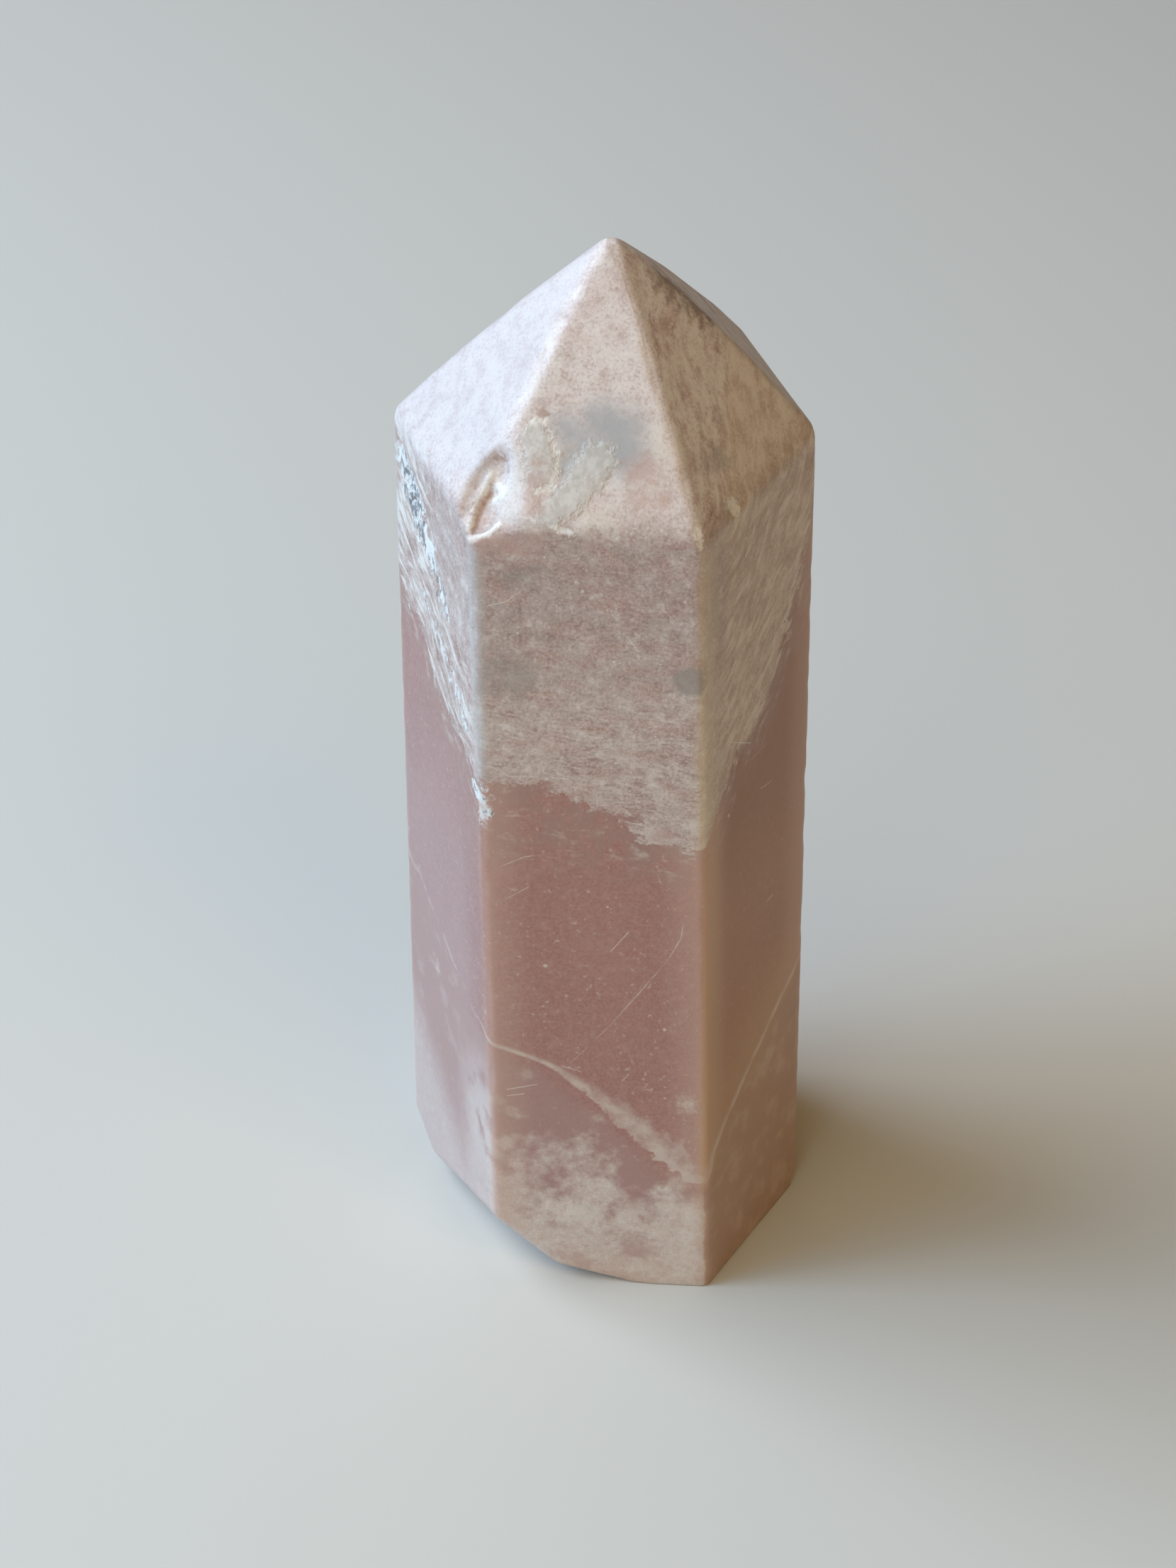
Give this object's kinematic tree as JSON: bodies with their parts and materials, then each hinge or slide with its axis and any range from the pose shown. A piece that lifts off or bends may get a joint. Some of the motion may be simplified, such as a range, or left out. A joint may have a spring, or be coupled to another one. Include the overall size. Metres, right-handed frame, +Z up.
{
  "type": "polished pink opal tower",
  "caption": "Six-sided polished stone tower with a faceted point, in banded pink opal with a cream fibrous band, standing on its flat sawn base.",
  "frame": {"origin": "middle of the base, on the surface that the stone stands on", "axes": "+Z up along the shaft, towards the point; the facet seen from the front faces -Y; +X to the right of it"},
  "size_m": [0.0344, 0.0324, 0.0935],
  "materials": {
    "pink_opal": "satin"
  },
  "bodies": {
    "root": {"opal_tower": "pink_opal"}
  },
  "joints": []
}
